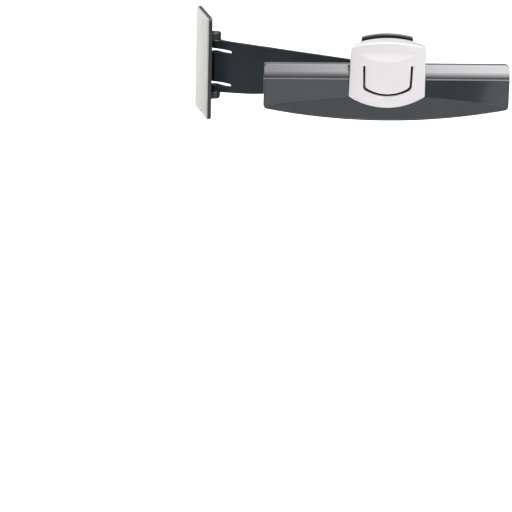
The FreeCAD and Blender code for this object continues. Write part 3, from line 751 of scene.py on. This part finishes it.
def jaw_outline(inset):
    """The jaw's outline drawn upright, as (x, height) points, drawn in by inset."""
    x_low, z_low = JAW_LOW_CORNER[0] - inset, JAW_LOW_CORNER[1] + inset * 0.75
    x_top, z_top = JAW_TOP_CORNER[0] - inset, JAW_TOP_CORNER[1] - inset * 0.95
    edges = [
        bowed(-x_top, x_top, x_top, z_top, JAW_TOP - inset),
        straight((x_top, z_top), (x_low, z_low)),
        bowed(x_low, -x_low, x_low, z_low, JAW_LOW + inset),
        straight((-x_low, z_low), (-x_top, z_top)),
    ]
    top, low = max(JAW_TOP_R - inset, 0.3), max(JAW_LOW_R - 0.3 * inset, 0.2)
    return rounded(edges, [top, low, low, top], [90, 60, 90, 60])


def on_jaw(outline, depth):
    """Outline points placed on the jaw, depth(x, up) behind its foremost line."""
    ups = [(x, z - JAW_LOW) for x, z in outline]
    return [jaw_point(x, up, depth(x, up)) for x, up in ups]


def tongue_path(inset):
    """The tongue's edge from its top left, down and round to its top right."""
    half, low = TONGUE_HALF - inset, TONGUE_LOW + inset
    corner, foot = TONGUE_CORNER_Z + inset, TONGUE_HALF - TONGUE_TAPER - inset
    edges = [
        straight((-half, TONGUE_TOP), (-foot, corner)),
        bowed(-foot, foot, foot, corner, low),
        straight((foot, corner), (half, TONGUE_TOP)),
        straight((half, TONGUE_TOP), (-half, TONGUE_TOP)),
    ]
    trim = 2.9 - inset * 0.55
    steps = [TONGUE_SIDE_STEPS, TONGUE_FOOT_STEPS, TONGUE_SIDE_STEPS]
    loop = rounded(edges, [trim, trim, 0.0, 0.0], [*steps, 1], TONGUE_CORNER_STEPS)
    return loop[: sum(steps) + len(steps) + 2 * (TONGUE_CORNER_STEPS - 1)]


def slot_loop(grow):
    """The closed outline of the slot round the tongue, widened by grow on each side."""
    outer, inner = tongue_path(-grow), tongue_path(TONGUE_GAP + grow)
    ends = []
    for a, b in ((outer[-1], inner[-1]), (inner[0], outer[0])):
        middle = 0.5 * (a[0] + b[0])
        half = 0.5 * (b[0] - a[0])
        for k in range(1, SLOT_END_STEPS):
            turn = math.pi * k / SLOT_END_STEPS
            ends.append((middle - half * math.cos(turn), TONGUE_TOP + 0.5 * abs(half) * math.sin(turn)))
    first = SLOT_END_STEPS - 1
    return outer + ends[:first] + inner[::-1] + ends[first:]


def flange_depth(x, up):
    """How deep the top cap and side flanges reach behind the jaw's foremost line."""
    z = JAW_LOW + up
    curve = JAW_BACK - (JAW_BACK_R - math.sqrt(JAW_BACK_R**2 - x * x))
    along = (z - FLANGE_LOW_Z) * FLANGE_RISE / (FLANGE_TOP_Z - FLANGE_LOW_Z)
    side = FLANGE_LOW_Y + along if z < FLANGE_TOP_Z else FLANGE_TOP_Y
    flare = (z - FLARE_LOW_Z) / (FLANGE_TOP_Z - FLARE_LOW_Z)
    side += FLARE_RISE * min(max(flare, 0.0), 1.0)
    reach = (min(curve, side) - JAW_FRONT_LOW + LEAN_SIN * up) / LEAN_COS
    return max(reach, bow(x, JAW_WALL) + 0.01)


def front_jaw():
    shell = Shell()
    r = JAW_EDGE_R
    loops = []
    for turn in spread(90, 0, 7):
        a = math.radians(turn)
        outline = jaw_outline(r * (1 - math.cos(a)))
        depth = r * (1 - math.sin(a))
        loops.append(on_jaw(outline, lambda x, up, depth=depth: bow(x) + depth))
    base = jaw_outline(0.0)
    reach = [flange_depth(x, z - JAW_LOW) for x, z in base]
    edge = [bow(x) + r for x, z in base]

    def layer(inset, depths):
        points = jaw_outline(inset)
        return [jaw_point(x, z - JAW_LOW, d) for (x, z), d in zip(points, depths)]

    for share in (0.33, 0.67):
        loops.append(layer(0.0, [a + (b - FLANGE_R - a) * share for a, b in zip(edge, reach)]))
    for turn in spread(0, 90, 4):
        a = math.radians(turn)
        back = FLANGE_R * (1 - math.sin(a))
        loops.append(layer(FLANGE_R * (1 - math.cos(a)), [b - back for b in reach]))
    for turn in spread(0, 90, 4):
        a = math.radians(turn)
        inset = FLANGE_WALL - FLANGE_R + FLANGE_R * math.sin(a)
        back = FLANGE_R * (1 - math.cos(a))
        floor = [bow(x, JAW_WALL) for x, z in jaw_outline(inset)]
        loops.append(layer(inset, [max(b - back, f) for b, f in zip(reach, floor)]))
    inner = jaw_outline(FLANGE_WALL)
    loops.append(on_jaw(inner, lambda x, up: bow(x, JAW_WALL)))
    shell.loft(loops, False)
    front_border = [(p[0], p[2]) for p in loops[0]]
    back_border = [(p[0], p[2]) for p in loops[-1]]
    grown, plain = slot_loop(SLOT_EDGE_R), slot_loop(0.0)
    skin(shell, jaw_face, front_border, [grown], [scoop_edge()], 1.0, SCOOP_PATCH)
    skin(shell, lambda x, z: jaw_y(x, z, JAW_WALL), back_border, [grown], [], 1.6)
    wall = []
    for turn in spread(90, 0, 4):
        a = math.radians(turn)
        loop = slot_loop(SLOT_EDGE_R * (1 - math.cos(a)) if turn < 90 else SLOT_EDGE_R)
        deep = SLOT_EDGE_R * (1 - math.sin(a))
        wall.append([(x, jaw_y(x, z) + deep, z) for x, z in loop])
    wall.append([(x, jaw_y(x, z, JAW_WALL) - SLOT_EDGE_R, z) for x, z in plain])
    wall.append([(x, jaw_y(x, z, JAW_WALL), z) for x, z in grown])
    shell.loft(wall, False)
    eye = arc_points(PIVOT_Y, PIVOT_Z, EYE_R, -90, 90, 14)
    lug = [(JAW_LUG_FRONT, PIVOT_Z - EYE_R - 1), *eye, (JAW_LUG_FRONT, PIVOT_Z + EYE_R + 2)]
    for side in (-1, 1):
        x0, x1 = sorted((side * JAW_LUG_X[0], side * JAW_LUG_X[1]))
        prism(shell, lug, x0, x1, 0.25)
    made = shell.piece("front_jaw_shell", "jaw", LOOKS["jaw_plastic"], HEAD)
    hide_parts("front_jaw")


# ---- jaw spring ----


def spring_line():
    """The spring wire's centreline: a leg on the tab, the coil, and a leg on the jaw."""
    left, right = WIRE_R - COIL_HALF, COIL_HALF - WIRE_R
    points = [Vector((left, TAB_FRONT - WIRE_R - 0.15, TAB_LEG_Z))]
    start = Vector((left, PIVOT_Y + COIL_R, PIVOT_Z))
    points += [points[0].lerp(start, share) for share in LEG_SHARES]
    count = int((COIL_TURNS + 0.5) * COIL_STEPS)
    for k in range(1, count):
        turn = 2 * math.pi * k / COIL_STEPS
        x = left + (right - left) * k / count
        y = PIVOT_Y + COIL_R * math.cos(turn)
        points.append(Vector((x, y, PIVOT_Z - COIL_R * math.sin(turn))))
    end = Vector((right, PIVOT_Y - COIL_R, PIVOT_Z))
    tip = Vector((right, *JAW_LEG_TIP))
    points += [end.lerp(tip, share) for share in (0.0, *LEG_SHARES)]
    return points


def swept(shell, line, radius, sides=12):
    """A round wire along a line of points."""
    up = Vector((0, 0, 1))
    loops = []
    last = len(line) - 1
    for k, point in enumerate(line):
        along = (line[min(k + 1, last)] - line[max(k - 1, 0)]).normalized()
        side = along.cross(up) if k == 0 else side - along * side.dot(along)
        side.normalize()
        other = along.cross(side)
        ring = []
        for j in range(sides):
            a = 2 * math.pi * j / sides
            ring.append(point + (side * math.cos(a) + other * math.sin(a)) * radius)
        loops.append(ring)
    shell.loft(loops, True)


def jaw_spring():
    """The torsion spring, drawn at rest, though the real one twists along its coil as the jaw opens;
    its turns just clear.
    """
    shell = Shell()
    swept(shell, spring_line(), WIRE_R * WIRE_SLACK)
    made = shell.piece("jaw_spring_coil", None, LOOKS["spring_steel"], HEAD)
    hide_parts("jaw_spring")
    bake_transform(made)


# ---- foam pad ----


def foam_pad():
    """The foam tape behind the plate: slightly squeezed, with gently uneven cut sides."""
    low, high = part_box("adhesive_pad")
    half_y, half_z = (high.y - low.y) / 2 / MM, (high.z - low.z) / 2 / MM
    thick = (high.x - low.x) / MM
    edges = [
        straight((-half_y, -half_z), (half_y, -half_z)),
        straight((half_y, -half_z), (half_y, half_z)),
        straight((half_y, half_z), (-half_y, half_z)),
        straight((-half_y, half_z), (-half_y, -half_z)),
    ]
    outline = rounded(edges, [FOAM_CORNER] * 4, [90, 180, 90, 180], 8)
    shell = Shell()
    loops = []
    depths = (0.0, 0.06, 0.3, 0.6, 0.9, thick - 0.06, thick)
    for level, (depth, draw) in enumerate(zip(depths, FOAM_DRAWS)):
        loop = shifted(outline, draw)
        ring = []
        for k, (y, z) in enumerate(loop):
            wave = FOAM_WAVE * math.sin(k * 0.9 + level) * math.sin(k * 0.31)
            ring.append((depth, y * (1 - abs(wave) / 40), z * (1 - abs(wave) / 60)))
        loops.append(ring)
    shell.loft(loops, True)
    placed = Matrix.Translation(Vector((low.x, (low.y + high.y) / 2, (low.z + high.z) / 2)))
    made = shell.piece("foam_tape", "mount", LOOKS["foam"], placed)
    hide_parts("adhesive_pad")


# ---- carried-over CAD nodes ----


def soften(node, width, angle=32.0):
    """Rounds a CAD node's sharp edges without touching its own mesh."""
    weld = node.modifiers.new("weld", "WELD")
    weld.merge_threshold = 1e-6
    bevel = node.modifiers.new("edges", "BEVEL")
    bevel.width = width * MM
    bevel.segments = 3
    bevel.limit_method = "ANGLE"
    bevel.angle_limit = math.radians(angle)
    level = node.modifiers.new("level", "WEIGHTED_NORMAL")
    level.keep_sharp = False
    level.weight = 100


def finish_nodes():
    slot_of = {part["node"]: part["material_slot"] for part in frame["record"]["subparts"]}
    for name, node in nodes.items():
        material = LOOKS[slot_of[name]].material
        node.data.materials.clear()
        node.data.materials.append(material)


# ---- studio ----


def camera():
    sin_a, cos_a = math.sin(CAMERA_TURN), math.cos(CAMERA_TURN)
    sin_e, cos_e = math.sin(CAMERA_TILT), math.cos(CAMERA_TILT)
    ahead = Vector((sin_a * cos_e, cos_a * cos_e, -sin_e))
    level = Vector((cos_a, -sin_a, 0))
    above = level.cross(ahead)
    right = level * math.cos(CAMERA_ROLL) + above * math.sin(CAMERA_ROLL)
    up = above * math.cos(CAMERA_ROLL) - level * math.sin(CAMERA_ROLL)
    data = bpy.data.cameras.new("camera")
    data.lens = CAMERA_LENS
    data.sensor_width = 36.0
    data.clip_end = 50.0
    made = bpy.data.objects.new("camera", data)
    bpy.context.scene.collection.objects.link(made)
    turn = Matrix((right, up, -ahead)).transposed().to_4x4()
    made.matrix_world = Matrix.Translation(CAMERA_AT) @ turn
    bpy.context.scene.camera = made


def plane(name, centre, facing, width, height):
    """A flat card that faces a direction, as part of the studio."""
    mesh = bpy.data.meshes.new(name)
    x, y = width / 2, height / 2
    mesh.from_pydata([(-x, -y, 0), (x, -y, 0), (x, y, 0), (-x, y, 0)], [], [(0, 1, 2, 3)])
    made = bpy.data.objects.new(name, mesh)
    bpy.context.scene.collection.objects.link(made)
    turn = Vector(facing).to_track_quat("Z", "Y")
    made.matrix_world = Matrix.Translation(Vector(centre)) @ turn.to_matrix().to_4x4()
    return made


def floor():
    made = plane("floor", (0, 0, FLOOR_Z), (0, 0, 1), 16.0, 16.0)
    look = Look("floor_paper", (0.9, 0.9, 0.9), 0.9)
    look.set(Specular_IOR_Level=0.1)
    look.tint(look.between(look.noise(0.4, 3.0), 0.3, 0.7, 0.0, 0.2), (0.88, 0.88, 0.88))
    made.data.materials.append(look.material)


def aimed(centre, target):
    """A matrix at centre whose Z axis points at the target, with Y upwards."""
    turn = (Vector(target) - Vector(centre)).to_track_quat("Z", "Y").to_matrix().to_4x4()
    return Matrix.Translation(Vector(centre)) @ turn


def glow_card(name, centre, target, width, height, left, right, foot):
    """A softbox whose light grows from left to right and fades to a share of it at its foot."""
    made = plane(name, centre, (0, 0, 1), width, height)
    made.matrix_world = aimed(centre, target)
    made.visible_camera = False
    look = Look(name, (0, 0, 0), 1.0)
    split = look.node("ShaderNodeSeparateXYZ")
    look.link(look.place, split.inputs["Vector"])
    across, up = split.outputs["X"], split.outputs["Y"]
    side = look.between(across, -0.22 * width, 0.22 * width, right, left)
    rise = look.between(up, -0.5 * height, 0.23 * height, foot, 1.0)
    rim = look.between(look.size_of(across), 0.35 * width, 0.5 * width, 1.0, 0.0)
    strength = look.times(look.times(side, rise), rim)
    glow = look.node("ShaderNodeEmission")
    glow.inputs["Color"].default_value = (1.0, 0.972, 0.985, 1)
    look.link(strength, glow.inputs["Strength"])
    look.link(glow.outputs["Emission"], look.tree.nodes["Material Output"].inputs["Surface"])
    made.data.materials.append(look.material)


def flag(name, centre, target, width, height, grey):
    """A matt grey card that only reflections show."""
    made = plane(name, centre, (0, 0, 1), width, height)
    made.matrix_world = aimed(centre, target)
    made.visible_camera = False
    made.visible_diffuse = False
    made.visible_shadow = False
    look = Look(name, (grey, grey, grey), 0.9)
    made.data.materials.append(look.set(Specular_IOR_Level=0.0).material)


def floor_flag(name, x, y, width, height, grey, raised=0.0):
    flag(name, (x, y, FLOOR_Z + 0.01 + raised), (x, y, 1.0), width, height, grey)


def softbox(name, centre, target, width, height, watts, mirrored=True):
    data = bpy.data.lights.new(name, "AREA")
    data.shape = "RECTANGLE"
    data.size, data.size_y = width, height
    data.energy = watts
    made = bpy.data.objects.new(name, data)
    bpy.context.scene.collection.objects.link(made)
    made.matrix_world = aimed(centre, target) @ Matrix.Rotation(math.pi, 4, "Y")
    made.visible_camera = False
    made.visible_glossy = mirrored


def world():
    """White behind the object; as light, bright in front and dim behind."""
    made = bpy.data.worlds.new("studio")
    made.use_nodes = True
    tree = made.node_tree
    back = tree.nodes["Background"]
    seen = tree.nodes.new("ShaderNodeBackground")
    seen.inputs["Strength"].default_value = 1.0
    seen.inputs["Color"].default_value = (1, 1, 1, 1)
    direction = tree.nodes.new("ShaderNodeTexCoord").outputs["Generated"]
    split = tree.nodes.new("ShaderNodeSeparateXYZ")
    tree.links.new(direction, split.inputs["Vector"])
    fade = tree.nodes.new("ShaderNodeMapRange")
    fade.interpolation_type = "SMOOTHSTEP"
    tree.links.new(split.outputs["Y"], fade.inputs["Value"])
    for key, number in zip(("From Min", "From Max", "To Min", "To Max"), WORLD_FADE):
        fade.inputs[key].default_value = number
    tree.links.new(fade.outputs["Result"], back.inputs["Strength"])
    back.inputs["Color"].default_value = (0.99, 0.995, 1.0, 1)
    direct = tree.nodes.new("ShaderNodeLightPath").outputs["Is Camera Ray"]
    mix = tree.nodes.new("ShaderNodeMixShader")
    tree.links.new(direct, mix.inputs["Fac"])
    tree.links.new(back.outputs["Background"], mix.inputs[1])
    tree.links.new(seen.outputs["Background"], mix.inputs[2])
    tree.links.new(mix.outputs["Shader"], tree.nodes["World Output"].inputs["Surface"])
    bpy.context.scene.world = made


def studio():
    bpy.context.scene.view_settings.view_transform = "Standard"
    world()
    floor()
    middle = HEAD.translation
    front = middle + Vector((0.0, -1.3, 0.97))
    glow_card("front_softbox", front, middle, 0.95, 2.36, left=3.1, right=10.6, foot=0.2)
    softbox("top_softbox", middle + Vector((0.1, 0.45, 2.5)), middle, 1.6, 1.2, 55.0)
    fill_at = middle + Vector((-1.3, -1.2, 0.8))
    softbox("left_fill", fill_at, middle, 0.6, 0.6, 18.5, mirrored=False)
    softbox("back_softbox", middle + Vector((-0.9, 1.7, 0.8)), middle, 0.9, 0.9, 45.0)
    flag("side_flag", middle + Vector((-1.1, -0.45, 0.1)), middle, 1.0, 0.8, 0.26)
    flag("right_flag", middle + Vector((1.1, 0.5, 0.1)), middle, 0.9, 0.9, 0.02)
    floor_flag("left_flag", -0.62, -0.95, 0.96, 1.3, 0.01)
    floor_flag("near_flag", 0.16, -0.8, 0.6, 1.4, 0.46)
    floor_flag("dark_flag", 0.095, -1.15, 0.09, 0.6, 0.12, raised=0.004)
    floor_flag("right_floor_flag", 1.15, -0.95, 1.2, 1.15, 0.03)
    floor_flag("back_flag", 0.9, 0.6, 1.7, 1.9, 0.02)


camera()
studio()
finish_nodes()
document_bar()
front_jaw()
jaw_spring()
foam_pad()
for name, width in SOFTENED.items():
    soften(nodes[name], width)

bpy.context.view_layer.update()
